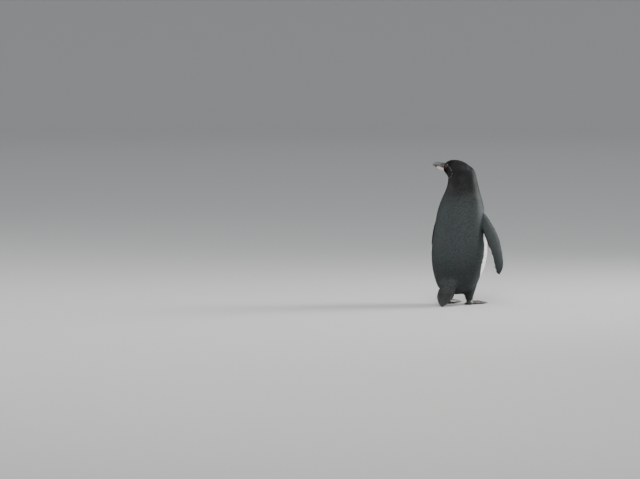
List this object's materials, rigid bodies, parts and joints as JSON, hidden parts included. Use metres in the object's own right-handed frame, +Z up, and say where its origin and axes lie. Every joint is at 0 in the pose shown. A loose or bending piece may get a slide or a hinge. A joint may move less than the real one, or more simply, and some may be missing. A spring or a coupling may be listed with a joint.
{
  "type": "galapagos penguin",
  "caption": "Life-size Galapagos penguin, standing on both feet and its tail tip, with its head turned over the left shoulder and the right flipper held out a little.",
  "frame": {"origin": "on the floor under the middle of the whole model's box", "axes": "+Z up, breast towards -Y, the bird's own left side towards +X"},
  "size_m": [0.2322, 0.1838, 0.4053],
  "materials": {
    "body_plumage": "matt, dense short feathers, dark grey above and white below",
    "head_plumage": "matt, very short black feathers with a thin white line",
    "flipper_plumage": "satin, scale-like feathers, dark grey above and white below",
    "tail_feathers": "satin, stiff black feathers",
    "bill_horn_dark": "satin dark horn",
    "bill_horn_pale": "satin horn, pale pinkish yellow with a dark tip",
    "eye": "clear gloss over a dark brown iris",
    "foot_skin": "matt scaly skin, black with paler patches",
    "claw_horn": "satin black horn"
  },
  "bodies": {
    "root": {"trunk": "body_plumage", "neck": "body_plumage", "head": "head_plumage", "leg_left": "body_plumage", "leg_right": "body_plumage", "wing_left": "flipper_plumage", "wing_right": "flipper_plumage", "tail": "tail_feathers", "bill_upper": "bill_horn_dark", "bill_lower": "bill_horn_pale", "eye_left": "eye", "eye_right": "eye", "foot_left": "foot_skin", "foot_right": "foot_skin", "claw_inner_left": "claw_horn", "claw_middle_left": "claw_horn", "claw_outer_left": "claw_horn", "claw_hind_left": "claw_horn", "claw_inner_right": "claw_horn", "claw_middle_right": "claw_horn", "claw_outer_right": "claw_horn", "claw_hind_right": "claw_horn"}
  },
  "joints": []
}
